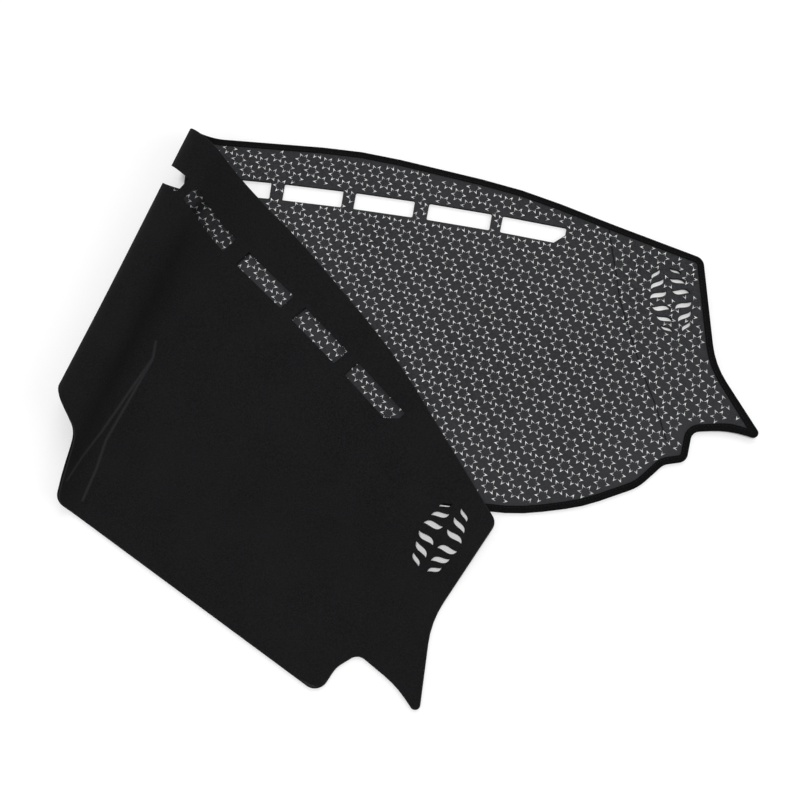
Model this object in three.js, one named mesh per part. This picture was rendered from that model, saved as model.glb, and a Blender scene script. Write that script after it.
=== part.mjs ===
// A dashboard cover mat of plush carpet on a non-slip backing, with a sewn tape binding round its edge.
// It is drawn flat and then folded once, so it lies as it does on a table: one half face down and
// the other half turned back over it, with an open loop along the fold.
//
// Flat drawing, in millimetres: +X along the mat, +Y towards the windscreen, +Z through the thickness,
// with the carpet's face at Z = 0 and the backing above it.
import * as THREE from "three";

// Layers
const carpetThickness = 2.7;
const backingThickness = 1.0;
const layerGap = 0.3;

// Binding tape, folded over the edge: narrow on the carpet, wide on the backing
const tapeThickness = 0.8;
const tapeOnFace = 4;
const tapeOnBack = 11;
const tapeBelowPile = 0.3;

// Outline. Each corner is [x, y, fillet radius]; the mat's ends mirror each other, its cabin edge doesn't.
const windscreenEdge = [
  [656, -118, 14],
  [425, -41, 700],
  [215, -5, 600],
];
const endEdge = [
  [673, -255, 110],
  [733, -346, 6],
  [690, -335.5, 120],
];

const passengerEdge = [
  [-634, -338, 14],
  [-625, -366, 30],
  [-630, -401, 16],
  [-249, -443, 18],
  [-201, -374, 35],
];
const recessEdge = [
  [-100, -336, 120],
  [100, -336, 120],
];
const instrumentHoodEdge = [
  [205, -376, 40],
  [258, -450, 60],
  [440, -460, 250],
  [520, -443, 200],
  [585, -414, 60],
  [614, -384, 20],
  [641, -378, 12],
  [647, -341, 12],
];

// Demister slots, one row along the windscreen edge: [distance from the mat's middle, length]
const driverSlots = [
  [24, 79],
  [119.5, 76.5],
  [211.5, 76.5],
  [306, 81],
  [400.5, 82],
];
const passengerSlots = [
  [8, 81],
  [100, 80],
  [203, 82],
  [305, 78],
  [401, 86],
];
const slotWidth = 23.5;
const slotCornerRadius = 2;
const slotChamfer = 13;
const slotRowY = -69.5;
const slotRowCurve = -1.36e-4;

// Speaker grille at each end: wavy slits, three in each quarter, set about its own axis.
// Each slit runs from an inner to an outer point, given along and across that axis.
const grilleX = 617.3;
const grilleY = -175;
const grilleTiltDeg = 12.2;
const grilleSlits = [
  { inner: [2.9, 12.6], outer: [25.4, 4.9], width: 7.4 },
  { inner: [3.4, 29.2], outer: [22, 17.2], width: 6.4 },
  { inner: [6, 42.2], outer: [18.4, 30.6], width: 4.8 },
];
const slitWave = 0.14;
const slitBend = 0.3;
const slitSteps = 6;

// Fold. The fold line crosses the mat at an angle; the loop is more open at the windscreen end.
const foldTurnDeg = 18.2;
const foldOffset = -5.3;
const loopAllowance = 51.5;
const openDropDeg = 42;
const closedDropDeg = 78;
const openingLength = 300;
const restClearance = 0.4;
const lieDownStart = 360;
const lieDownLength = 90;
const floorClearance = 0.2;

// The driver end lifts a little beyond a soft crease from [x, y] to [x, y]
const creaseStart = [536, -80];
const creaseEnd = [613, -340];
const endLiftDeg = 2.2;
const creaseSoftness = 24;

// How the folded mat is turned on the table
const headingDeg = -4.97;

// Fineness of curved stretches
const chordError = 0.25;
const coarsestArc = 0.8;
const loopStep = 8;
const flankStep = 14;
const rowStep = 40;
const firstRow = 45;
const lieDownStep = 30;
const shortestEdge = 0.2;
const sharpest = 0.5;
const sameLine = 1e-6;
const pinShift = 1e-3;

// Levels through the thickness
const backingBottom = carpetThickness + layerGap;
const backingTop = backingBottom + backingThickness;
const tapeFaceOuter = tapeBelowPile;
const tapeFaceInner = tapeFaceOuter + tapeThickness;
const tapeBackInner = backingTop + layerGap;
const tapeBackOuter = tapeBackInner + tapeThickness;
const sheetInset = tapeThickness + layerGap;
const middle = backingTop / 2;

const radians = THREE.MathUtils.degToRad;

// Outline corners, anticlockwise from the driver's windscreen corner
function outlineCorners() {
  const mirrored = (list) => list.map(([x, y, r]) => [-x, y, r]);
  return [
    ...windscreenEdge,
    ...mirrored(windscreenEdge).reverse(),
    ...mirrored(endEdge),
    ...passengerEdge,
    ...recessEdge,
    ...instrumentHoodEdge,
    ...[...endEdge].reverse(),
  ];
}

// Moves each side of a closed outline inwards; outside fillets shrink by the same amount, inside ones grow
function insetCorners(corners, inset) {
  const count = corners.length;
  const sides = corners.map(([x, y], i) => {
    const [nextX, nextY] = corners[(i + 1) % count];
    const along = new THREE.Vector2(nextX - x, nextY - y).normalize();
    const inwards = new THREE.Vector2(-along.y, along.x);
    return { point: new THREE.Vector2(x, y).addScaledVector(inwards, inset), along };
  });
  return corners.map(([, , r], i) => {
    const before = sides[(i + count - 1) % count];
    const after = sides[i];
    const turn = before.along.cross(after.along);
    const gap = after.point.clone().sub(before.point);
    const at = before.point.clone().addScaledVector(before.along, gap.cross(after.along) / turn);
    const radius = turn > 0 ? Math.max(r - inset, sharpest) : r + inset;
    return [at.x, at.y, radius];
  });
}

// Points of a closed outline whose corners are rounded by true arcs
function roundedPoints(corners) {
  const count = corners.length;
  const points = [];
  corners.forEach(([x, y, r], i) => {
    const corner = new THREE.Vector2(x, y);
    const [px, py] = corners[(i + count - 1) % count];
    const [nx, ny] = corners[(i + 1) % count];
    const back = new THREE.Vector2(px, py).sub(corner);
    const ahead = new THREE.Vector2(nx, ny).sub(corner);
    const room = 0.5 * Math.min(back.length(), ahead.length());
    back.normalize();
    ahead.normalize();
    const halfAngle = Math.acos(back.dot(ahead)) / 2;
    const radius = Math.min(r, room * Math.tan(halfAngle));
    const sweep = Math.PI - 2 * halfAngle;
    const centre = corner
      .clone()
      .addScaledVector(back.clone().add(ahead).normalize(), radius / Math.sin(halfAngle));
    const from = corner.clone().addScaledVector(back, radius / Math.tan(halfAngle)).sub(centre);
    const turnSign = Math.sign(ahead.cross(back));
    const step = 2 * Math.acos(Math.max(1 - chordError / radius, coarsestArc));
    const steps = Math.max(1, Math.ceil(sweep / step));
    for (let k = 0; k <= steps; k++) {
      points.push(from.clone().rotateAround(new THREE.Vector2(), (turnSign * sweep * k) / steps).add(centre));
    }
  });
  return points;
}

// One demister slot; side is +1 for the driver's half and -1 for the passenger's
function slotPoints([start, length], side, chamfered) {
  const centreX = side * (start + length / 2);
  const centreY = slotRowY + slotRowCurve * centreX * centreX;
  const slope = Math.atan(2 * slotRowCurve * centreX);
  const halfLength = length / 2;
  const halfWidth = slotWidth / 2;
  const outer = chamfered
    ? [
        [halfLength - slotChamfer, -halfWidth, slotCornerRadius],
        [halfLength, slotChamfer - halfWidth, slotCornerRadius],
      ]
    : [[halfLength, -halfWidth, slotCornerRadius]];
  const corners = [
    [-halfLength, halfWidth, slotCornerRadius],
    [-halfLength, -halfWidth, slotCornerRadius],
    ...outer,
    [halfLength, halfWidth, slotCornerRadius],
  ];
  return roundedPoints(corners).map((p) =>
    p
      .set(side * p.x, p.y)
      .rotateAround(new THREE.Vector2(), slope)
      .add(new THREE.Vector2(centreX, centreY)),
  );
}

// One wavy slit: an S-shaped edge and the same edge turned half round about the slit's middle
function slitPoints({ inner, outer, width }) {
  const from = new THREE.Vector2(...inner);
  const to = new THREE.Vector2(...outer);
  const along = to.clone().sub(from);
  const across = new THREE.Vector2(-along.y, along.x).normalize();
  const wave = slitWave * along.length();
  const edge = new THREE.CubicBezierCurve(
    from,
    from.clone().addScaledVector(along, slitBend).addScaledVector(across, -(width + wave)),
    from.clone().addScaledVector(along, 1 - slitBend).addScaledVector(across, wave - width / 3),
    to,
  ).getPoints(slitSteps);
  const opposite = edge.slice(1, -1).map((p) => from.clone().add(to).sub(p));
  return [...edge, ...opposite];
}

// The slits of one grille in the flat drawing
function grillePoints(side) {
  const quarters = [
    [1, 1],
    [1, -1],
    [-1, 1],
    [-1, -1],
  ];
  const tilt = radians(grilleTiltDeg);
  return quarters.flatMap(([sx, sy]) =>
    grilleSlits.map((slit) =>
      slitPoints(slit).map(({ x, y }) => {
        const turned = new THREE.Vector2(sx * x, sy * y).rotateAround(new THREE.Vector2(), tilt);
        return new THREE.Vector2(side * (grilleX + turned.x), grilleY + turned.y);
      }),
    ),
  );
}

// Every opening that is cut through both layers
function openings() {
  const row = (slots, side) =>
    slots.map((slot, i) => slotPoints(slot, side, i === slots.length - 1));
  return [
    ...row(driverSlots, 1),
    ...row(passengerSlots, -1),
    ...grillePoints(1),
    ...grillePoints(-1),
  ];
}

// A closed line of the flat drawing, anticlockwise, whose points know which rim they are on
function rimOf(points) {
  const isKept = (p, i) => p.distanceTo(points[(i + 1) % points.length]) > shortestEdge;
  const rim = { points: points.filter(isKept) };
  if (THREE.ShapeUtils.isClockWise(rim.points)) {
    rim.points.reverse();
  }
  for (const point of rim.points) {
    point.rim = rim;
  }
  return rim;
}

// Splits a region by the straight line where measure equals level. A region is a list of closed loops
// with its inside on their left; the part where measure is larger comes first.
function splitRegion(loops, measure, level) {
  const origin = measure({ x: 0, y: 0 });
  const slope = new THREE.Vector2(measure({ x: 1, y: 0 }) - origin, measure({ x: 0, y: 1 }) - origin);
  return [1, -1].map((side) => {
    const along = new THREE.Vector2(slope.y, -slope.x).multiplyScalar(side);
    const whole = [];
    const chains = [];
    for (const loop of loops) {
      const depths = loop.map((p) => (measure(p) - level) * side);
      const firstOut = depths.findIndex((depth) => depth <= 0);
      if (firstOut < 0) {
        whole.push(loop);
        continue;
      }
      let chain = null;
      for (let k = 0; k < loop.length; k++) {
        const i = (firstOut + k) % loop.length;
        const j = (i + 1) % loop.length;
        if (depths[i] > 0) {
          chain.push(loop[i]);
        }
        if (depths[i] > 0 !== depths[j] > 0) {
          const point = crossingOf(loop[i], loop[j], measure, level);
          if (depths[j] > 0) {
            chain = [point];
            chains.push(chain);
          } else {
            chain.push(point);
          }
        }
      }
    }
    const ends = chains
      .flatMap((chain) => [
        { at: chain.at(-1).dot(along), chain },
        { at: chain[0].dot(along), chain },
      ])
      .sort((a, b) => a.at - b.at);
    const next = new Map();
    for (let i = 0; i < ends.length; i += 2) {
      next.set(ends[i].chain, ends[i + 1].chain);
    }
    const left = new Set(chains);
    while (left.size) {
      const loop = [];
      let [chain] = left;
      while (left.delete(chain)) {
        loop.push(...chain);
        chain = next.get(chain);
      }
      whole.push(loop);
    }
    return whole;
  });
}

// Where one side of a loop crosses a level; both neighbours of a line work it out alike
function crossingOf(a, b, measure, level) {
  const [first, second] = a.x < b.x || (a.x === b.x && a.y < b.y) ? [a, b] : [b, a];
  const start = measure(first);
  const point = first.clone().lerp(second, (level - start) / (measure(second) - start));
  point.rim = a.rim;
  return point;
}

// Cuts a region into strips between the levels
function stripsOf(region, measure, levels) {
  const strips = [];
  let rest = region;
  for (const level of levels) {
    const [above, below] = splitRegion(rest, measure, level);
    strips.push(below);
    rest = above;
  }
  strips.push(rest);
  return strips.filter((loops) => loops.length);
}

// Adds a region's points where its straight side on one line meets the levels cut beyond that line
function pinned(loops, measure, level, acrossMeasure, acrossLevels) {
  const isOn = (p) => Math.abs(measure(p) - level) < sameLine;
  return loops.map((loop) =>
    loop.flatMap((a, i) => {
      const b = loop[(i + 1) % loop.length];
      if (!isOn(a) || !isOn(b)) {
        return [a];
      }
      const inwards = new THREE.Vector2(a.y - b.y, b.x - a.x).normalize();
      const [start, end] = [acrossMeasure(a), acrossMeasure(b)];
      const between = acrossLevels.filter((l) => (l - start) * (l - end) < 0);
      between.sort((l, m) => Math.abs(l - start) - Math.abs(m - start));
      return [
        a,
        ...between.map((l) => {
          const point = crossingOf(a, b, acrossMeasure, l);
          point.inwards = inwards;
          return point;
        }),
      ];
    }),
  );
}

// Triangles of one cell. A pinned point is shown to the triangulation a hair inside its straight side,
// so that it is never the tip of a flat triangle.
function trianglesOf(cell) {
  const shown = new Map();
  const show = (loop) =>
    loop.map((p) => {
      const seen = p.clone();
      if (p.inwards) {
        seen.addScaledVector(p.inwards, pinShift);
      }
      shown.set(seen, p);
      return seen;
    });
  const isOuter = (loop) => THREE.ShapeUtils.area(loop) > 0;
  const holes = cell.filter((loop) => !isOuter(loop));
  return cell.filter(isOuter).flatMap((outer) => {
    const contour = show(outer);
    const inner = holes.filter((hole) => isInside(hole[0], outer)).map(show);
    const all = [...contour, ...inner.flat()];
    const triangles = THREE.ShapeUtils.triangulateShape(contour, inner);
    return triangles.map((corners) => corners.map((i) => shown.get(all[i])));
  });
}

function isInside(point, loop) {
  let inside = false;
  loop.forEach((a, i) => {
    const b = loop[(i + 1) % loop.length];
    if (a.y > point.y !== b.y > point.y && point.x < a.x + ((point.y - a.y) * (b.x - a.x)) / (b.y - a.y)) {
      inside = !inside;
    }
  });
  return inside;
}

// Distance from the fold line, positive on the half that lies face down, and distance along it
const foldTurn = radians(foldTurnDeg);
function foldAcross({ x, y }) {
  return (x + foldOffset) * Math.cos(foldTurn) - y * Math.sin(foldTurn);
}
function foldAlong({ x, y }) {
  return -(x + foldOffset) * Math.sin(foldTurn) - y * Math.cos(foldTurn);
}

// Heights of the sheet's middle where the turned-back half lies on the other half, and on the table
const stackedMiddle = 2 * tapeBackOuter + restClearance - middle;
const tableMiddle = tapeBackOuter + floorClearance - middle;

// The loop is an arc that runs over the top and down a flank, and a second arc that eases onto the sheet
// below. Its radius follows from the cloth it takes up, so both halves stay true to the flat drawing.
function loopAt(along) {
  const opened = 1 - THREE.MathUtils.smoothstep(along, 0, openingLength);
  const drop = radians(THREE.MathUtils.lerp(closedDropDeg, openDropDeg, opened));
  const spare = (drop - Math.sin(drop)) / (1 - Math.cos(drop));
  const step = stackedMiddle - middle;
  const radius = (loopAllowance + step * spare) / (Math.PI - 2 + 2 * spare);
  const easeRadius = (2 * radius - step) / (1 - Math.cos(drop)) - radius;
  return { drop, radius, easeRadius };
}

// Place across the fold and height of the sheet's middle; settled runs from 0 on the loop to 1 past it
function loopProfile(across, along) {
  const { drop, radius, easeRadius } = loopAt(along);
  const quarter = (Math.PI / 2) * radius;
  const length = across + quarter - radius;
  if (length > quarter) {
    return { out: across, height: middle, settled: 0 };
  }
  const top = middle + 2 * radius;
  if (length > -quarter - radius * drop) {
    const angle = -length / radius;
    return {
      out: radius * (1 - Math.cos(angle)),
      height: middle + radius * (1 + Math.sin(angle)),
      settled: 0,
    };
  }
  const past = -length - quarter - radius * drop;
  const flankOut = radius * (1 + Math.sin(drop));
  const flankHeight = top - radius * (1 - Math.cos(drop));
  if (past < easeRadius * drop) {
    const left = drop - past / easeRadius;
    return {
      out: flankOut + easeRadius * (Math.sin(drop) - Math.sin(left)),
      height: flankHeight - easeRadius * (Math.cos(left) - Math.cos(drop)),
      settled: past / (easeRadius * drop),
    };
  }
  return {
    out: flankOut + easeRadius * Math.sin(drop) + past - easeRadius * drop,
    height: stackedMiddle,
    settled: 1,
  };
}

// Height added beyond the crease at the driver end
const creaseDirection = new THREE.Vector2(...creaseEnd).sub(new THREE.Vector2(...creaseStart)).normalize();
function beyondCrease({ x, y }) {
  return -(x - creaseStart[0]) * creaseDirection.y + (y - creaseStart[1]) * creaseDirection.x;
}
function endLift(point) {
  const past = THREE.MathUtils.clamp(beyondCrease(point) / creaseSoftness + 0.5, 0, 1);
  const straight = Math.max(beyondCrease(point) - creaseSoftness / 2, 0);
  return Math.tan(radians(endLiftDeg)) * ((creaseSoftness * past * past) / 2 + straight);
}

// The sheet's middle surface after folding, as across-the-fold, along-the-fold and height
function foldedMiddle(point) {
  const across = foldAcross(point);
  const along = foldAlong(point);
  const { out, height, settled } = loopProfile(across, along);
  const eased = THREE.MathUtils.smoothstep(settled, 0, 1);
  const lowered = THREE.MathUtils.smoothstep(along, lieDownStart, lieDownStart + lieDownLength);
  const sunk = (stackedMiddle - tableMiddle) * eased * lowered;
  return new THREE.Vector3(out, -along, height - sunk + (across > 0 ? endLift(point) : 0));
}

// Folds one point of the flat drawing, keeping its distance from the middle surface
function foldPoint(point) {
  const small = 0.02;
  const at = foldedMiddle(point);
  const alongX = foldedMiddle({ x: point.x + small, y: point.y }).sub(at);
  const alongY = foldedMiddle({ x: point.x, y: point.y + small }).sub(at);
  const up = alongX.cross(alongY).normalize();
  return at.addScaledVector(up, point.z - middle);
}

function levelsBetween(from, to, step) {
  const count = Math.max(1, Math.round((to - from) / step));
  return Array.from({ length: count + 1 }, (_, i) => from + ((to - from) * i) / count);
}

// Lines of the flat drawing where the sheet bends
const openLoop = loopAt(0);
const closedLoop = loopAt(openingLength);
const [flankEnd, arcEnd] = [openLoop, closedLoop]
  .map(({ drop, radius, easeRadius }) => radius * (1 - Math.PI - drop) - easeRadius * drop)
  .sort((a, b) => a - b);
const loopStart = openLoop.radius;
const bendLevels = [
  ...levelsBetween(flankEnd, arcEnd, flankStep),
  ...levelsBetween(arcEnd, loopStart, loopStep).slice(1),
];
const lieDownLevels = levelsBetween(lieDownStart, lieDownStart + lieDownLength, lieDownStep);
const rowLevels = [...levelsBetween(firstRow, lieDownStart, rowStep).slice(0, -1), ...lieDownLevels];
const creaseLevels = levelsBetween(-creaseSoftness / 2, creaseSoftness / 2, creaseSoftness / 3);

// Cells of a region, each of which stays flat, or nearly so, when the mat is folded
function cellsOf(region) {
  const [flatBelow, turned] = splitRegion(region, foldAcross, loopStart);
  const [loop, flatAbove] = splitRegion(turned, foldAcross, flankEnd);
  const belowRim = pinned(flatBelow, foldAcross, loopStart, foldAlong, rowLevels);
  const aboveRim = pinned(flatAbove, foldAcross, flankEnd, foldAlong, rowLevels);
  return [
    ...stripsOf(loop, foldAcross, bendLevels.slice(1, -1)).flatMap((strip) =>
      stripsOf(strip, foldAlong, rowLevels),
    ),
    ...stripsOf(aboveRim, foldAlong, lieDownLevels),
    ...stripsOf(belowRim, beyondCrease, creaseLevels),
  ];
}

// A region from an outer rim and the rims of its holes
function regionOf(outer, holes) {
  return [outer.points, ...holes.map((rim) => [...rim.points].reverse())];
}

// Collects the triangles of one closed piece: flat faces at a level, and walls along rims between levels
class Sheet {
  constructor() {
    this.positions = [];
    this.rimEdges = new Map();
  }

  add(corners) {
    for (const corner of corners) {
      this.positions.push(...foldPoint(corner).toArray());
    }
  }

  face(outer, holes, level, upwards) {
    const triangles = cellsOf(regionOf(outer, holes)).flatMap(trianglesOf);
    const name = (p) => Math.round(p.x * 1e4) + " " + Math.round(p.y * 1e4);
    const edges = new Map();
    for (const triangle of triangles) {
      const at = triangle.map((p) => new THREE.Vector3(p.x, p.y, level));
      this.add(upwards ? at : at.reverse());
      triangle.forEach((a, i) => {
        const b = triangle[(i + 1) % 3];
        edges.set(name(a) + " " + name(b), [a, b]);
      });
    }
    for (const [a, b] of edges.values()) {
      if (!edges.has(name(b) + " " + name(a))) {
        const forwards = a.rim === outer;
        const list = this.rimEdges.get(a.rim) ?? new Map();
        const [first, last] = forwards ? [a, b] : [b, a];
        list.set(name(first), [first, last]);
        this.rimEdges.set(a.rim, list);
      }
    }
  }

  wall(rim, low, high, filledInside) {
    for (const [a, b] of this.rimEdges.get(rim).values()) {
      const [first, last] = filledInside ? [a, b] : [b, a];
      const at = (p, level) => new THREE.Vector3(p.x, p.y, level);
      this.add([at(first, low), at(last, low), at(last, high)]);
      this.add([at(first, low), at(last, high), at(first, high)]);
    }
  }

  geometry() {
    const positions = new THREE.Float32BufferAttribute(this.positions, 3);
    return new THREE.BufferGeometry().setAttribute("position", positions);
  }
}

function outlineRim(inset) {
  return rimOf(roundedPoints(insetCorners(outlineCorners(), inset)));
}

// The carpet, with a step round its face that the tape sits in
function carpetGeometry() {
  const stepTop = tapeFaceInner + layerGap;
  const face = outlineRim(tapeOnFace + layerGap);
  const edge = outlineRim(sheetInset);
  const holes = openings().map(rimOf);
  const sheet = new Sheet();
  sheet.face(face, holes, 0, false);
  sheet.face(edge, [face], stepTop, false);
  sheet.face(edge, holes, carpetThickness, true);
  sheet.wall(face, 0, stepTop, true);
  sheet.wall(edge, stepTop, carpetThickness, true);
  for (const hole of holes) {
    sheet.wall(hole, 0, carpetThickness, false);
  }
  return sheet.geometry();
}

function backingGeometry() {
  const edge = outlineRim(sheetInset);
  const holes = openings().map(rimOf);
  const sheet = new Sheet();
  sheet.face(edge, holes, backingBottom, false);
  sheet.face(edge, holes, backingTop, true);
  sheet.wall(edge, backingBottom, backingTop, true);
  for (const hole of holes) {
    sheet.wall(hole, backingBottom, backingTop, false);
  }
  return sheet.geometry();
}

// The tape, a U-section that follows the whole outline
function bindingGeometry() {
  const edge = outlineRim(0);
  const fold = outlineRim(tapeThickness);
  const faceHem = outlineRim(tapeOnFace);
  const backHem = outlineRim(tapeOnBack);
  const sheet = new Sheet();
  sheet.face(edge, [faceHem], tapeFaceOuter, false);
  sheet.face(fold, [faceHem], tapeFaceInner, true);
  sheet.face(fold, [backHem], tapeBackInner, false);
  sheet.face(edge, [backHem], tapeBackOuter, true);
  sheet.wall(edge, tapeFaceOuter, tapeBackOuter, true);
  sheet.wall(fold, tapeFaceInner, tapeBackInner, false);
  sheet.wall(faceHem, tapeFaceOuter, tapeFaceInner, false);
  sheet.wall(backHem, tapeBackInner, tapeBackOuter, false);
  return sheet.geometry();
}

function piece(name, geometry, material) {
  const mesh = new THREE.Mesh(geometry, material);
  mesh.name = name;
  return mesh;
}

const plush = new THREE.MeshStandardMaterial({ color: 0x19191b, roughness: 0.95, metalness: 0 });
const nonSlip = new THREE.MeshStandardMaterial({ color: 0x37373a, roughness: 0.8, metalness: 0 });
const tape = new THREE.MeshStandardMaterial({ color: 0x101011, roughness: 0.85, metalness: 0 });

const mat = new THREE.Group();
mat.add(
  piece("carpet_face", carpetGeometry(), plush),
  piece("anti_slip_backing", backingGeometry(), nonSlip),
  piece("edge_binding", bindingGeometry(), tape),
);
mat.rotation.z = radians(headingDeg) - foldTurn;

// The origin is under the middle of the folded mat, at table level
const dashMat = new THREE.Group();
dashMat.add(mat);
dashMat.updateMatrixWorld(true);
const bounds = new THREE.Box3().setFromObject(mat, true);
const centre = bounds.getCenter(new THREE.Vector3());
mat.position.set(-centre.x, -centre.y, -bounds.min.z);

export default dashMat;
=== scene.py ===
import math

import bmesh
import bpy
import numpy as np
from mathutils import Matrix, Vector


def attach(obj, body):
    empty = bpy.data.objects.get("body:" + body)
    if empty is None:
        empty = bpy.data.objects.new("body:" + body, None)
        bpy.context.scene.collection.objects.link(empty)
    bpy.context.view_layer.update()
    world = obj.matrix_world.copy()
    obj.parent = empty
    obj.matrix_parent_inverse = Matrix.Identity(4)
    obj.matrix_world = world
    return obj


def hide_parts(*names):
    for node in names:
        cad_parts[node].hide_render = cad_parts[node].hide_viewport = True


# A folded dashboard cover mat. Every piece is drawn flat in millimetres (+X along the mat,
# +Y to the windscreen, +Z through the thickness, carpet face at 0) and then folded into place.

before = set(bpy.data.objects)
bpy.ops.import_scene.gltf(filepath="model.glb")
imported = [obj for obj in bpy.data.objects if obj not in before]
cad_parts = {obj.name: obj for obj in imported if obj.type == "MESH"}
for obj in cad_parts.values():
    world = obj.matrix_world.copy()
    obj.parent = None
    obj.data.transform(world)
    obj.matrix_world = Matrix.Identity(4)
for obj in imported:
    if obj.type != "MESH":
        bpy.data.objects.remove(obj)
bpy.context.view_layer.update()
scene = bpy.context.scene

# Corners of the edge as (x, y, fillet radius). The ends mirror each other, and so do the two
# halves of the windscreen edge.
outline = {
    "windscreen": [(656, -118, 14), (425, -41, 700), (215, -5, 600)],
    "end": [(673, -255, 110), (733, -346, 6), (690, -335.5, 120)],
    "passenger": [(-634, -338, 14), (-625, -366, 30), (-630, -401, 16), (-249, -443, 18), (-201, -374, 35)],
    "recess": [(-100, -336, 120), (100, -336, 120)],
    "hood": [
        (205, -376, 40), (258, -450, 60), (440, -460, 250), (520, -443, 200),
        (585, -414, 60), (614, -384, 20), (641, -378, 12), (647, -341, 12),
    ],
    "arcStep": 0.12,  # radians between points of a fillet
    "closest": 0.15,  # points nearer to each other than this become one
    "smallestFillet": 0.6,
}

slots = {
    "driver": [(24, 79), (119.5, 76.5), (211.5, 76.5), (306, 81), (400.5, 82)],  # start, length
    "passenger": [(8, 81), (100, 80), (203, 82), (305, 78), (401, 86)],
    "width": 23.5,
    "radius": 2,
    "arcStep": 0.4,
    "chamfer": 13,  # on the outermost slot of each side
    "rowY": -69.5,
    "rowCurve": -1.36e-4,  # the row bends down by this times x squared
}

# Each slit is an inner end, an outer end and a width, in a quarter of the round grille
grille = {
    "x": 617.3, "y": -175, "tilt": 12.2,
    "slits": [
        ((2.9, 12.6), (25.4, 4.9), 7.4), ((3.4, 29.2), (22, 17.2), 6.4), ((6, 42.2), (18.4, 30.6), 4.8),
    ],
    "wave": 0.14,
    "bend": 0.3,
    "steps": 14,
}


def mirrored(corners):
    return [(-x, y, r) for x, y, r in corners]


def outlineCorners():
    screen, end = outline["windscreen"], outline["end"]
    return (
        screen + mirrored(screen)[::-1] + mirrored(end) + outline["passenger"]
        + outline["recess"] + outline["hood"] + end[::-1]
    )


def insetCorners(corners, inset):
    count = len(corners)
    sides = []
    for i, (x, y, r) in enumerate(corners):
        nx, ny, _ = corners[(i + 1) % count]
        along = Vector((nx - x, ny - y)).normalized()
        sides.append((Vector((x, y)) + Vector((-along.y, along.x)) * inset, along))
    moved = []
    for i, (x, y, r) in enumerate(corners):
        (p, a), (q, b) = sides[i - 1], sides[i]
        turn = a.x * b.y - a.y * b.x
        gap = q - p
        at = p + a * ((gap.x * b.y - gap.y * b.x) / turn)
        moved.append((at.x, at.y, max(r - inset, outline["smallestFillet"]) if turn > 0 else r + inset))
    return moved


def roundedPoints(corners, arcStep):
    count = len(corners)
    points = []
    for i, (x, y, r) in enumerate(corners):
        corner = Vector((x, y))
        back = Vector(corners[i - 1][:2]) - corner
        ahead = Vector(corners[(i + 1) % count][:2]) - corner
        room = 0.5 * min(back.length, ahead.length)
        back.normalize()
        ahead.normalize()
        half = math.acos(back.dot(ahead)) / 2
        radius = min(r, room * math.tan(half))
        sweep = math.pi - 2 * half
        centre = corner + (back + ahead).normalized() * (radius / math.sin(half))
        start = corner + back * (radius / math.tan(half)) - centre
        side = 1 if ahead.x * back.y - ahead.y * back.x > 0 else -1
        steps = max(2, math.ceil(sweep / arcStep))
        for k in range(steps + 1):
            turn = side * sweep * k / steps
            points.append(Vector((
                centre.x + start.x * math.cos(turn) - start.y * math.sin(turn),
                centre.y + start.x * math.sin(turn) + start.y * math.cos(turn),
            )))
    return [p for i, p in enumerate(points) if (p - points[i - 1]).length > outline["closest"]]


def matOutline(inset):
    return roundedPoints(insetCorners(outlineCorners(), inset), outline["arcStep"])


def slotOutline(start, length, side, chamfered):
    x = side * (start + length / 2)
    y = slots["rowY"] + slots["rowCurve"] * x ** 2
    slope = math.atan(2 * slots["rowCurve"] * x)
    halfL, halfW, r, c = length / 2, slots["width"] / 2, slots["radius"], slots["chamfer"]
    outer = [(halfL - c, -halfW, r), (halfL, c - halfW, r)] if chamfered else [(halfL, -halfW, r)]
    corners = [(-halfL, halfW, r), (-halfL, -halfW, r)] + outer + [(halfL, halfW, r)]
    place = Matrix.Translation((x, y, 0)) @ Matrix.Rotation(slope, 4, "Z")
    return [(place @ Vector((side * p.x, p.y, 0))).xy for p in roundedPoints(corners, slots["arcStep"])]


# One long side of a slit is a cubic curve, and the other is the same curve turned round
def slitOutline(inner, outer, width):
    a, d = Vector(inner), Vector(outer)
    along = d - a
    across = Vector((-along.y, along.x)).normalized()
    wave = grille["wave"] * along.length
    b = a + along * grille["bend"] - across * (width + wave)
    c = a + along * (1 - grille["bend"]) + across * (wave - width / 3)
    side = []
    for k in range(grille["steps"] + 1):
        t = k / grille["steps"]
        side.append(a * (1 - t) ** 3 + b * 3 * t * (1 - t) ** 2 + c * 3 * t * t * (1 - t) + d * t ** 3)
    return side + [a + d - p for p in side[1:-1]]


def openingOutlines():
    loops = []
    tilt = Matrix.Rotation(math.radians(grille["tilt"]), 2)
    for name, side in (("driver", 1), ("passenger", -1)):
        for i, (start, length) in enumerate(slots[name]):
            loops.append(slotOutline(start, length, side, i == len(slots[name]) - 1))
        for sx, sy in ((1, 1), (1, -1), (-1, 1), (-1, -1)):
            for slit in grille["slits"]:
                turned = [tilt @ Vector((sx * p.x, sy * p.y)) for p in slitOutline(*slit)]
                loops.append([Vector((side * (grille["x"] + p.x), grille["y"] + p.y)) for p in turned])
    return loops


# Thicknesses from the carpet face up, and how far the tape reaches in from the edge
layers = {
    "carpet": 2.7, "gap": 0.3, "backing": 1.0, "tape": 0.8, "belowPile": 0.3,
    "onFace": 4, "onBack": 8.6,
}
backingLow = layers["carpet"] + layers["gap"]
backingTop = backingLow + layers["backing"]
tapeTop = backingTop + layers["gap"] + layers["tape"]
sheetInset = layers["tape"] + layers["gap"]
middle = backingTop / 2

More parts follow.
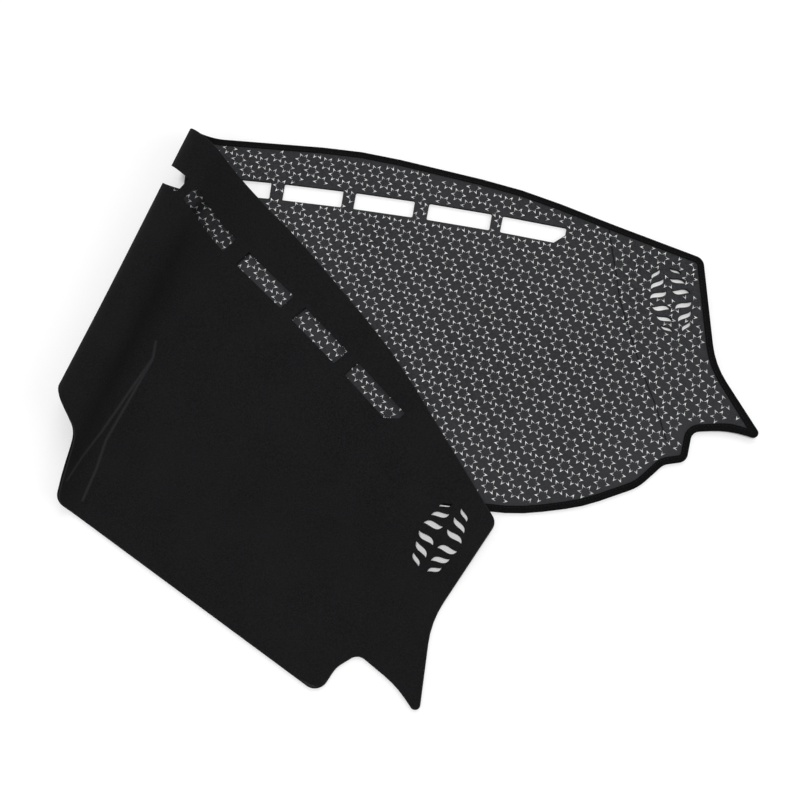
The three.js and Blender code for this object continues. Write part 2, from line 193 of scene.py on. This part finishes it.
fold = {
    "turn": 18.2, "offset": -5.3,  # where the fold's line crosses the flat mat
    "allowance": 51.5,  # length of sheet that the loop takes up, the same all along the fold
    "openDrop": 42, "closedDrop": 78, "openingLength": 300,  # steepness of the loop's far side
    "clearance": 0.4, "floorClearance": 0.2,
    "lieDownStart": 360, "lieDownLength": 90,  # where the upper half comes down to the table
    "liftFrom": (536, -80), "liftTo": (613, -340), "lift": 2.2, "liftSoftness": 24,
    "heading": -4.97,
    "shift": (-270.4174, 361.6916, 0),  # brings the middle of the folded mat to the origin
}
stacked = 2 * tapeTop + fold["clearance"] - middle  # the sheet's middle on the other half
lying = tapeTop + fold["floorClearance"] - middle  # and upside down on the table


def smoothStep(t):
    t = np.clip(t, 0, 1)
    return t * t * (3 - 2 * t)


def foldAcross(x, y):
    turn = math.radians(fold["turn"])
    return (x + fold["offset"]) * math.cos(turn) - y * math.sin(turn)


def foldAlong(x, y):
    turn = math.radians(fold["turn"])
    return -(x + fold["offset"]) * math.sin(turn) - y * math.cos(turn)


# The section across the fold: level, round an arc that passes the top and slopes down by the
# angle drop, and back to level on the other half through an opposite arc
def loopSection(across, along):
    opened = 1 - smoothStep(along / fold["openingLength"])
    drop = np.radians(fold["closedDrop"] + (fold["openDrop"] - fold["closedDrop"]) * opened)
    spare = (drop - np.sin(drop)) / (1 - np.cos(drop))
    step = stacked - middle
    radius = (fold["allowance"] + step * spare) / (math.pi - 2 + 2 * spare)
    easeRadius = (2 * radius - step) / (1 - np.cos(drop)) - radius
    quarter = math.pi / 2 * radius
    length = across + quarter - radius
    angle = -length / radius
    past = -length - quarter - radius * drop
    left = drop - past / easeRadius
    flankOut = radius * (1 + np.sin(drop))
    flankHeight = middle + radius * (1 + np.cos(drop))
    where = [length > quarter, length > -quarter - radius * drop, past < easeRadius * drop]
    out = np.select(where, [
        across,
        radius * (1 - np.cos(angle)),
        flankOut + easeRadius * (np.sin(drop) - np.sin(left)),
    ], flankOut + easeRadius * np.sin(drop) + past - easeRadius * drop)
    height = np.select(where, [
        np.full_like(across, middle),
        middle + radius * (1 + np.sin(angle)),
        flankHeight - easeRadius * (np.cos(left) - np.cos(drop)),
    ], stacked)
    settled = np.select(where, [np.zeros_like(across), np.zeros_like(across), past / (easeRadius * drop)], 1)
    return out, height, settled


# The driver's end rises beyond a shallow crease
def endLift(x, y):
    (ax, ay), (bx, by) = fold["liftFrom"], fold["liftTo"]
    size = math.dist((ax, ay), (bx, by))
    beyond = (-(x - ax) * (by - ay) + (y - ay) * (bx - ax)) / size
    soft = fold["liftSoftness"]
    rise = soft / 2 * np.clip(beyond / soft + 0.5, 0, 1) ** 2 + np.maximum(beyond - soft / 2, 0)
    return math.tan(math.radians(fold["lift"])) * rise


def foldedMiddle(x, y):
    across, along = foldAcross(x, y), foldAlong(x, y)
    out, height, settled = loopSection(across, along)
    lowered = smoothStep((along - fold["lieDownStart"]) / fold["lieDownLength"])
    height = height - (stacked - lying) * smoothStep(settled) * lowered
    height = height + np.where(across > 0, endLift(x, y), 0)
    return np.stack([out, -along, height], -1)


# From flat points in millimetres to folded points in metres
def foldedPlace(points):
    x, y, z = points.T
    small = 0.02  # step that finds the surface's slope
    at = foldedMiddle(x, y)
    up = np.cross(foldedMiddle(x + small, y) - at, foldedMiddle(x, y + small) - at)
    up /= np.linalg.norm(up, axis=1)[:, None]
    folded = at + up * (z - middle)[:, None]
    turn = math.radians(fold["heading"] - fold["turn"])
    spin = np.array([[math.cos(turn), -math.sin(turn), 0], [math.sin(turn), math.cos(turn), 0], [0, 0, 1]])
    return (folded @ spin.T + np.array(fold["shift"])) / 1000


print("flat drawing and fold ready")

tolerances = {"merge": 0.002, "level": 0.01, "cut": 1e-4}
cutterReach = 5  # how far a cutter goes past what it cuts


def newPiece(name, bm):
    mesh = bpy.data.meshes.new(name)
    bm.to_mesh(mesh)
    bm.free()
    piece = bpy.data.objects.new(name, mesh)
    scene.collection.objects.link(piece)
    return piece


def thicken(bm, height):
    grown = bmesh.ops.extrude_face_region(bm, geom=bm.faces[:])
    raised = [part for part in grown["geom"] if isinstance(part, bmesh.types.BMVert)]
    bmesh.ops.translate(bm, verts=raised, vec=(0, 0, height))


def loopEdges(bm, points, z):
    verts = [bm.verts.new((p.x, p.y, z)) for p in points]
    return [bm.edges.new((a, verts[i - 1])) for i, a in enumerate(verts)]


def plateMesh(outer, holes, low, high, rimBevel=0):
    bm = bmesh.new()
    edges = loopEdges(bm, outer, low)
    for hole in holes:
        edges += loopEdges(bm, hole, low)
    if holes:
        bmesh.ops.triangle_fill(bm, edges=edges, use_beauty=True)
    else:
        bmesh.ops.contextual_create(bm, geom=edges)
    thicken(bm, high - low)
    bmesh.ops.recalc_face_normals(bm, faces=bm.faces)
    if rimBevel:
        rims = [e for e in bm.edges if abs(e.verts[0].co.z - e.verts[1].co.z) < tolerances["level"]]
        bmesh.ops.bevel(
            bm, geom=rims, offset=rimBevel, segments=3, profile=0.5, affect="EDGES",
            clamp_overlap=True, material=-1,
        )
    return bm


def combined(piece, cutter, operation):
    modifier = piece.modifiers.new("cut", "BOOLEAN")
    modifier.operation = operation
    modifier.solver = "EXACT"
    modifier.object = cutter
    bm = bmesh.new()
    bm.from_object(piece, bpy.context.evaluated_depsgraph_get())
    piece.modifiers.clear()
    bm.to_mesh(piece.data)
    bm.free()
    bpy.data.objects.remove(cutter)
    return piece


def foldedPiece(piece, sharpAngle=40):
    bm = bmesh.new()
    bm.from_mesh(piece.data)
    bmesh.ops.remove_doubles(bm, verts=bm.verts, dist=tolerances["merge"])
    bmesh.ops.triangulate(bm, faces=[f for f in bm.faces if len(f.verts) > 4])
    for v, co in zip(bm.verts, foldedPlace(np.array([v.co for v in bm.verts]))):
        v.co = co
    bmesh.ops.recalc_face_normals(bm, faces=bm.faces)
    for face in bm.faces:
        face.smooth = True
    for edge in bm.edges:
        edge.smooth = edge.calc_face_angle(0) < math.radians(sharpAngle)
    bm.to_mesh(piece.data)
    bm.free()
    return piece


def connect(tree, value, socket):
    if isinstance(value, bpy.types.NodeSocket):
        tree.links.new(value, socket)
    else:
        socket.default_value = value


def newMaterial(name, look):
    material = bpy.data.materials.new(name)
    material.use_nodes = True
    tree = material.node_tree
    shader = tree.nodes["Principled BSDF"]
    shader.inputs["Roughness"].default_value = look["roughness"]
    shader.inputs["Specular IOR Level"].default_value = look["specular"]
    return material, tree, shader


def objectCoords(tree):
    return tree.nodes.new("ShaderNodeTexCoord").outputs["Object"]


def noiseNode(tree, coords, scale, detail=2, stretch=(1, 1, 1)):
    mapping = tree.nodes.new("ShaderNodeMapping")
    mapping.inputs["Scale"].default_value = stretch
    connect(tree, coords, mapping.inputs["Vector"])
    noise = tree.nodes.new("ShaderNodeTexNoise")
    noise.inputs["Scale"].default_value = scale
    noise.inputs["Detail"].default_value = detail
    connect(tree, mapping.outputs["Vector"], noise.inputs["Vector"])
    return noise.outputs["Fac"]


def mathNode(tree, operation, *values):
    node = tree.nodes.new("ShaderNodeMath")
    node.operation = operation
    for value, socket in zip(values, node.inputs):
        connect(tree, value, socket)
    return node.outputs[0]


def mixTwo(tree, factor, first, second):
    mix = tree.nodes.new("ShaderNodeMix")
    mix.data_type = "RGBA"
    connect(tree, factor, mix.inputs["Factor"])
    for name, value in (("A", first), ("B", second)):
        socket = next(s for s in mix.inputs if s.name == name and s.type == "RGBA")
        connect(tree, (*value, 1) if isinstance(value, tuple) else value, socket)
    return next(s for s in mix.outputs if s.type == "RGBA")


def rangeNode(tree, value, span):
    spread = tree.nodes.new("ShaderNodeMapRange")
    spread.inputs["From Min"].default_value, spread.inputs["From Max"].default_value = span
    connect(tree, value, spread.inputs["Value"])
    return spread.outputs["Result"]


def addBump(tree, shader, height, look):
    bump = tree.nodes.new("ShaderNodeBump")
    bump.inputs["Strength"].default_value = look["bump"]
    bump.inputs["Distance"].default_value = look["bumpDepth"]
    connect(tree, height, bump.inputs["Height"])
    connect(tree, bump.outputs["Normal"], shader.inputs["Normal"])


# The carpet and the backing are cut from a plate of small cells that run along and across the fold
cells = {"across": 5, "along": 12, "acrossSpan": (-612, 822), "alongSpan": (-110, 572)}


def gridPlate(name, low, high):
    (left, right), (near, far) = cells["acrossSpan"], cells["alongSpan"]
    columns, rows = round((right - left) / cells["across"]), round((far - near) / cells["along"])
    bm = bmesh.new()
    bmesh.ops.create_grid(bm, x_segments=columns, y_segments=rows, size=0.5)
    turn = Matrix.Rotation(-math.radians(fold["turn"]), 4, "Z")
    stretch = Matrix.Diagonal((right - left, far - near, 1, 1))
    centre = Matrix.Translation(((left + right) / 2, -(near + far) / 2, low))
    back = Matrix.Translation((-fold["offset"], 0, 0))
    bm.transform(back @ turn @ centre @ stretch)
    thicken(bm, high - low)
    bmesh.ops.recalc_face_normals(bm, faces=bm.faces)
    return newPiece(name, bm)


openings = openingOutlines()


def sheetPiece(name, low, high):
    piece = gridPlate(name, low, high)
    shape = plateMesh(matOutline(sheetInset), openings, low - cutterReach, high + cutterReach)
    return foldedPiece(combined(piece, newPiece("cutter", shape), "INTERSECT"))


plushLook = {
    "dark": (0.0055, 0.0055, 0.0061), "light": (0.0138, 0.0136, 0.0145),
    "pileScale": 700, "pileSpan": (0.3, 0.7), "patchScale": 16, "patchSpan": (0.35, 0.75), "patchShare": 0.35,
    "roughness": 0.95, "specular": 0.03, "sheen": 0.02, "sheenRoughness": 0.5,
    "bump": 0.5, "bumpDepth": 0.0008,
}

# Lines where the turned-back half was pressed in its package, as flat points. Along them the pile is raised
# by a bump (lift) and given a painted highlight (colour), lighter where the bent pile catches the light
creases = {
    "lines": [
        [(-199, -225), (-211, -242), (-219, -289), (-229, -350), (-233, -387), (-239, -418)],
        [(-212, -244), (-229, -308), (-240, -353), (-255, -384), (-270, -422)],
    ],
    "width": 0.0028, "colour": (0.032, 0.0317, 0.034), "strength": 0.55, "lift": 0.9,
}


def vectorMath(tree, operation, first, second=None, scale=None):
    node = tree.nodes.new("ShaderNodeVectorMath")
    node.operation = operation
    for value, socket in ((first, node.inputs[0]), (second, node.inputs[1]), (scale, node.inputs[3])):
        if value is not None:
            connect(tree, value, socket)
    return node.outputs["Value" if operation in ("DOT_PRODUCT", "LENGTH") else "Vector"]


def distanceToSegment(tree, coords, start, end):
    way = end - start
    fromStart = vectorMath(tree, "SUBTRACT", coords, start)
    share = vectorMath(tree, "DOT_PRODUCT", fromStart, way / way.length_squared)
    travel = tree.nodes.new("ShaderNodeClamp")
    connect(tree, share, travel.inputs["Value"])
    nearest = vectorMath(tree, "SCALE", way, scale=travel.outputs["Result"])
    return vectorMath(tree, "LENGTH", vectorMath(tree, "SUBTRACT", fromStart, nearest))


def creaseMask(tree, coords):
    distances = []
    for line in creases["lines"]:
        points = [Vector(p) for p in foldedPlace(np.array([(x, y, 0) for x, y in line], float))]
        distances += [distanceToSegment(tree, coords, a, b) for a, b in zip(points, points[1:])]
    shortest = distances[0]
    for distance in distances[1:]:
        shortest = mathNode(tree, "MINIMUM", shortest, distance)
    mask = tree.nodes.new("ShaderNodeMapRange")
    mask.interpolation_type = "SMOOTHSTEP"
    mask.inputs["From Max"].default_value = creases["width"]
    mask.inputs["To Min"].default_value = creases["strength"]
    mask.inputs["To Max"].default_value = 0
    connect(tree, shortest, mask.inputs["Value"])
    return mask.outputs["Result"]


def plushMaterial():
    material, tree, shader = newMaterial("blackPlush", plushLook)
    coords = objectCoords(tree)
    pile = noiseNode(tree, coords, plushLook["pileScale"], detail=4)
    patches = noiseNode(tree, coords, plushLook["patchScale"])
    tuft = mixTwo(tree, rangeNode(tree, pile, plushLook["pileSpan"]), plushLook["dark"], plushLook["light"])
    worn = mixTwo(tree, rangeNode(tree, patches, plushLook["patchSpan"]), tuft, plushLook["light"])
    creaseRidgeAndHighlight = creaseMask(tree, coords)
    # painted highlight along the crease lines, lighter where the bent pile catches the light
    colour = mixTwo(tree, creaseRidgeAndHighlight, mixTwo(tree, plushLook["patchShare"], tuft, worn), creases["colour"])
    connect(tree, colour, shader.inputs["Base Color"])
    shader.inputs["Sheen Weight"].default_value = plushLook["sheen"]
    shader.inputs["Sheen Roughness"].default_value = plushLook["sheenRoughness"]
    addBump(tree, shader, mathNode(tree, "MULTIPLY_ADD", creaseRidgeAndHighlight, creases["lift"], pile), plushLook)
    return material


carpet = sheetPiece("plush_carpet", 0, layers["carpet"])
carpet.data.materials.append(plushMaterial())
print("carpet", len(carpet.data.polygons))

backingLook = {
    "dark": (0.017, 0.0172, 0.019), "light": (0.037, 0.0372, 0.0402), "weaveScale": 520, "weaveStretch": 0.35,
    "weaveSpan": (0.75, 1.25), "cloudScale": 5, "cloudSpan": (0.3, 0.8),
    "roughness": 0.8, "specular": 0.08, "bump": 0.35, "bumpDepth": 0.0004,
}


def backingMaterial():
    material, tree, shader = newMaterial("charcoalBacking", backingLook)
    coords = objectCoords(tree)
    stretch = backingLook["weaveStretch"]
    weft = noiseNode(tree, coords, backingLook["weaveScale"], stretch=(1, stretch, 1))
    warp = noiseNode(tree, coords, backingLook["weaveScale"], stretch=(stretch, 1, 1))
    clouds = noiseNode(tree, coords, backingLook["cloudScale"], detail=3)
    cloth = mathNode(tree, "ADD", weft, warp)
    threads = rangeNode(tree, cloth, backingLook["weaveSpan"])
    woven = mixTwo(tree, threads, backingLook["dark"], backingLook["light"])
    faded = mixTwo(tree, rangeNode(tree, clouds, backingLook["cloudSpan"]), woven, backingLook["light"])
    connect(tree, faded, shader.inputs["Base Color"])
    addBump(tree, shader, cloth, backingLook)
    return material


backing = sheetPiece("charcoal_backing", backingLow, backingTop)
backing.data.materials.append(backingMaterial())
print("backing", len(backing.data.polygons))

# The tape is cut at these levels across and along the fold, closest where it bends most
tapeShape = {
    "rounding": 1.6,
    "cutsAcross": [(-240, 45, 5), (-600, -240, 24), (60, 810, 24)],  # from, to, step
    "cutsAlong": [(-90, 570, 20)],
}

tapeLook = {
    "dark": (0.0022, 0.0022, 0.0025), "light": (0.007, 0.007, 0.0077),
    "ribScale": 900, "ribSpan": (0.35, 0.7),
    "faceHighlight": (0.0215, 0.0213, 0.0225), "faceHighlightSpan": (0.6, 0.95),  # painted highlight, lighter on the carpet side where the tape slopes towards the light
    "roughness": 0.75, "specular": 0.03, "bump": 0.4, "bumpDepth": 0.0003,
}


def tapeMaterial():
    material, tree, shader = newMaterial("blackBindingTape", tapeLook)
    ribs = noiseNode(tree, objectCoords(tree), tapeLook["ribScale"])
    black = mixTwo(tree, rangeNode(tree, ribs, tapeLook["ribSpan"]), tapeLook["dark"], tapeLook["light"])
    side = tree.nodes.new("ShaderNodeAttribute")
    side.attribute_name = "faceSide"
    onFace = rangeNode(tree, side.outputs["Fac"], tapeLook["faceHighlightSpan"])
    # the tape's carpet side gets a painted highlight, lighter where it slopes towards the light
    connect(tree, mixTwo(tree, onFace, black, tapeLook["faceHighlight"]), shader.inputs["Base Color"])
    addBump(tree, shader, ribs, tapeLook)
    return material


def cutAlongFold(bm):
    turn = math.radians(fold["turn"])
    origin = Vector((-fold["offset"], 0, 0))
    for way, cuts in (
        (Vector((math.cos(turn), -math.sin(turn), 0)), tapeShape["cutsAcross"]),
        (Vector((-math.sin(turn), -math.cos(turn), 0)), tapeShape["cutsAlong"]),
    ):
        for level in [level for cut in cuts for level in range(*cut)]:
            whole = bm.verts[:] + bm.edges[:] + bm.faces[:]
            bmesh.ops.bisect_plane(
                bm, geom=whole, dist=tolerances["cut"], plane_co=origin + way * level, plane_no=way,
            )


def bindingPiece():
    low, high, inner = layers["belowPile"], tapeTop, layers["tape"]
    tape = newPiece("bound_edge", plateMesh(matOutline(0), [], low, high, tapeShape["rounding"]))
    for inset, bottom, top in (
        (inner, low + inner, high - inner),
        (layers["onFace"], low - cutterReach, middle),
        (layers["onBack"], middle, high + cutterReach),
    ):
        tape = combined(tape, newPiece("cutter", plateMesh(matOutline(inset), [], bottom, top)), "DIFFERENCE")
    bm = bmesh.new()
    bm.from_mesh(tape.data)
    bmesh.ops.triangulate(bm, faces=bm.faces)
    cutAlongFold(bm)
    faceSide = bm.verts.layers.float.new("faceSide")
    for v in bm.verts:
        v[faceSide] = (high - v.co.z) / (high - low)
    bm.to_mesh(tape.data)
    bm.free()
    return foldedPiece(tape, sharpAngle=60)


binding = bindingPiece()
binding.data.materials.append(tapeMaterial())
print("binding", len(binding.data.polygons))


grainSpan = (0.35, 0.65)


# A finish with a fine grain between two colours
def plainMaterial(name, look):
    material, tree, shader = newMaterial(name, look)
    grain = noiseNode(tree, objectCoords(tree), look["grainScale"])
    colour = mixTwo(tree, rangeNode(tree, grain, grainSpan), look["dark"], look["light"])
    connect(tree, colour, shader.inputs["Base Color"])
    return material


# The backing's end piece is joined along a seam, and its stars run another way
seam = {
    "points": [
        (537, -85), (542, -115), (548, -144), (554, -180), (571, -231), (584, -269), (603, -314), (616, -354),
    ],
    "width": 1.8, "thick": 0.12, "cell": 4, "root": 0.05,  # root is how deep it sits in the backing
}
seamLook = {
    "dark": (0.008, 0.008, 0.009), "light": (0.018, 0.018, 0.02),
    "grainScale": 400, "roughness": 0.9, "specular": 0.02,
}

# Each star is six arrowheads from base to tip, with a notch between the two barbs
stars = {
    "fields": [
        {
            "first": (314.22, -189.62), "right": (31.8, -2.77), "down": (12.98, -14.74),
            "turn": -5.5, "beyondSeam": False,
        },
        {
            "first": (624.11, -282.61), "right": (17.81, -12.6), "down": (-8.53, -18.56),
            "turn": -3.5, "beyondSeam": True,
        },
    ],
    "count": 60, "spanX": 745, "spanY": (-470, 10), "fromEdge": 8.8,
    "tip": 9.9, "base": 4.5, "halfWidth": 2.1, "notch": 7.2, "thick": 0.14, "root": 0.05,
}
starLook = {
    "dark": (0.5, 0.5, 0.505), "light": (0.82, 0.82, 0.825),
    "grainScale": 160, "roughness": 0.6, "specular": 0.2,
}


def seamX(y):
    across, down = zip(*seam["points"])
    return np.interp(-y, [-v for v in down], across)


def insideLoop(x, y, loop):
    inside = np.zeros(len(x), bool)
    for i, b in enumerate(loop):
        a = loop[i - 1]
        if a.y == b.y:
            continue
        crosses = (a.y > y) != (b.y > y)
        inside ^= crosses & (x < a.x + (y - a.y) * (b.x - a.x) / (b.y - a.y))
    return inside


# Arrowheads of one field as (x, y, turn), on its own side of the seam
def fieldMarks(field):
    (fx, fy), (rx, ry), (dx, dy) = field["first"], field["right"], field["down"]
    lowest, highest = stars["spanY"]
    reach = (stars["base"] + stars["tip"]) / 2
    marks = []
    for i in range(-stars["count"], stars["count"]):
        for j in range(-stars["count"], stars["count"]):
            x, y = fx + i * rx + j * dx, fy + i * ry + j * dy
            if abs(x) > stars["spanX"] or not lowest < y < highest:
                continue
            for k in range(6):
                turn = math.radians(field["turn"] + 60 * k)
                beyond = x + reach * math.cos(turn) > seamX(y + reach * math.sin(turn))
                if beyond == field["beyondSeam"]:
                    marks.append((x, y, turn))
    return marks


def starPiece():
    tip, base, halfWidth, notch = stars["tip"], stars["base"], stars["halfWidth"], stars["notch"]
    corners = [(tip, 0), (base, halfWidth), (notch, 0), (base, -halfWidth)]
    x, y, turn = np.array([mark for field in stars["fields"] for mark in fieldMarks(field)]).T
    kept = np.ones(len(x), bool)
    loops = [(matOutline(stars["fromEdge"]), True)] + [(loop, False) for loop in openings]
    for cx, cy in corners:
        px = x + cx * np.cos(turn) - cy * np.sin(turn)
        py = y + cx * np.sin(turn) + cy * np.cos(turn)
        for loop, wanted in loops:
            kept &= insideLoop(px, py, loop) == wanted
    bm = bmesh.new()
    for mx, my, mt in zip(x[kept], y[kept], turn[kept]):
        at = Matrix.Translation((mx, my, backingTop - stars["root"])) @ Matrix.Rotation(mt, 4, "Z")
        bm.faces.new([bm.verts.new(at @ Vector((cx, cy, 0))) for cx, cy in corners])
    thicken(bm, stars["thick"] + stars["root"])
    return foldedPiece(newPiece("star_marks", bm), sharpAngle=30)


starMarks = starPiece()
starMarks.data.materials.append(plainMaterial("paleStarRubber", starLook))
print("stars", len(starMarks.data.polygons))


def seamPiece():
    first, last = seam["points"][0][1], seam["points"][-1][1]
    steps = round((first - last) / seam["cell"])
    levels = np.linspace(first, last, steps + 1)
    low, high = backingTop - seam["root"], backingTop + seam["thick"]
    bm = bmesh.new()
    bmesh.ops.create_grid(bm, x_segments=1, y_segments=steps, size=0.5)
    for v in bm.verts:
        y = levels[round((v.co.y + 0.5) * steps)]
        v.co = seamX(y) + v.co.x * seam["width"], y, low
    thicken(bm, high - low)
    return foldedPiece(newPiece("backing_seam", bm))


backingSeam = seamPiece()
backingSeam.data.materials.append(plainMaterial("darkSeam", seamLook))

# The middle of a stitch lies a quarter of its width under the tape's surface
stitches = {"backInset": 6.4, "faceInset": 2.9, "pitch": 4.4, "length": 3.1, "width": 0.6, "depth": 0.25}
backThreadLook = {
    "dark": (0.009, 0.009, 0.01), "light": (0.022, 0.022, 0.024),
    "grainScale": 900, "roughness": 0.7, "specular": 0.1,
}
faceThreadLook = {
    "dark": (0.022, 0.022, 0.023), "light": (0.045, 0.045, 0.047),
    "grainScale": 900, "roughness": 0.7, "specular": 0.1,
}


def stitchPiece(name, inset, z):
    points = [Vector((p.x, p.y, z)) for p in matOutline(inset)]
    points.append(points[0])
    halfWidth = stitches["width"] / 2
    size = Matrix.Diagonal((stitches["length"] / 2, halfWidth, halfWidth, 1))
    bm = bmesh.new()
    at = 0
    for a, b in zip(points, points[1:]):
        way = b - a
        turn = Matrix.Rotation(math.atan2(way.y, way.x), 4, "Z")
        while at < way.length:
            place = Matrix.Translation(a + way.normalized() * at) @ turn
            bmesh.ops.create_icosphere(bm, subdivisions=1, radius=1, matrix=place @ size)
            at += stitches["pitch"]
        at -= way.length
    return foldedPiece(newPiece(name, bm), sharpAngle=80)


sunk = stitches["width"] * stitches["depth"]
backStitches = stitchPiece("backing_stitches", stitches["backInset"], tapeTop - sunk)
backStitches.data.materials.append(plainMaterial("blackThread", backThreadLook))
faceStitches = stitchPiece("face_stitches", stitches["faceInset"], layers["belowPile"] + sunk)
faceStitches.data.materials.append(plainMaterial("greyThread", faceThreadLook))
print("stitches", len(backStitches.data.polygons), len(faceStitches.data.polygons))


# Area in square metres of a loop drawn in millimetres
def flatArea(loop):
    return abs(sum(a.x * b.y - b.x * a.y for a, b in zip(loop, loop[1:] + loop[:1]))) / 2 * 1e-6


for piece, node, slot in (
    (carpet, "carpet_face", "plush_carpet"),
    (backing, "anti_slip_backing", "anti_slip_cloth"),
    (binding, "edge_binding", "binding_tape"),
    (starMarks, None, "anti_slip_cloth"),
    (backingSeam, None, "anti_slip_cloth"),
    (backStitches, None, "binding_tape"),
    (faceStitches, None, "binding_tape"),
):
    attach(piece, "root")
    if node:
        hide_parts(node)
clothArea = flatArea(matOutline(0)) - sum(flatArea(loop) for loop in openings)

studio = {
    "floorSize": 60, "floorColour": (0.9, 0.9, 0.9), "roughness": 1, "specular": 0,
    "floorGlow": 0.13, "world": 0.45,
}


# 1 for rays that end in the picture, directly or in a shiny surface
def seenRays(tree):
    path = tree.nodes.new("ShaderNodeLightPath").outputs
    shiny = mathNode(tree, "MAXIMUM", path["Is Glossy Ray"], path["Is Transmission Ray"])
    return mathNode(tree, "MAXIMUM", path["Is Camera Ray"], shiny)


def addFloor():
    bm = bmesh.new()
    bmesh.ops.create_grid(bm, x_segments=1, y_segments=1, size=studio["floorSize"] / 2)
    floor = newPiece("floor", bm)
    material, tree, shader = newMaterial("whiteFloor", studio)
    shader.inputs["Base Color"].default_value = (*studio["floorColour"], 1)
    shader.inputs["Emission Color"].default_value = (1, 1, 1, 1)
    glow = mathNode(tree, "MULTIPLY", seenRays(tree), studio["floorGlow"])
    connect(tree, glow, shader.inputs["Emission Strength"])
    floor.data.materials.append(material)


# Soft light from straight above, with weaker light from the back and the right
lamps = {
    "above": {"from": (-0.08, -0.05, 1), "spread": 14, "strength": 1.3},
    "back": {"from": (0.3, 0.8, 1), "spread": 30, "strength": 0.45},
    "right": {"from": (1, -0.3, 0.7), "spread": 30, "strength": 0.3},
}


def addLamps():
    for name, lamp in lamps.items():
        light = bpy.data.lights.new(name, "SUN")
        light.angle = math.radians(lamp["spread"])
        light.energy = lamp["strength"]
        holder = bpy.data.objects.new(name, light)
        holder.rotation_euler = (-Vector(lamp["from"])).to_track_quat("-Z", "Y").to_euler()
        scene.collection.objects.link(holder)


def addWorld():
    world = bpy.data.worlds.new("studio")
    scene.world = world
    world.use_nodes = True
    tree = world.node_tree
    background = tree.nodes["Background"]
    background.inputs["Color"].default_value = (1, 1, 1, 1)
    level = tree.nodes.new("ShaderNodeMapRange")
    level.inputs["To Min"].default_value = studio["world"]
    level.inputs["To Max"].default_value = 1
    connect(tree, seenRays(tree), level.inputs["Value"])
    connect(tree, level.outputs["Result"], background.inputs["Strength"])


camera = {
    "elevation": 76, "distance": 1.27, "target": (-0.01328, 0.00707),
    "lens": 46.84, "sensor": 36, "clipEnd": 50,
}


def addCamera():
    lens = bpy.data.cameras.new("camera")
    lens.lens = camera["lens"]
    lens.sensor_width = camera["sensor"]
    lens.clip_end = camera["clipEnd"]
    holder = bpy.data.objects.new("camera", lens)
    rise = math.radians(camera["elevation"])
    tx, ty = camera["target"]
    holder.location = (tx, ty - camera["distance"] * math.cos(rise), camera["distance"] * math.sin(rise))
    holder.rotation_euler = (math.pi / 2 - rise, 0, 0)
    scene.collection.objects.link(holder)
    scene.camera = holder


addFloor()
addLamps()
addWorld()
addCamera()
scene.view_settings.view_transform = "Standard"
print("studio ready")
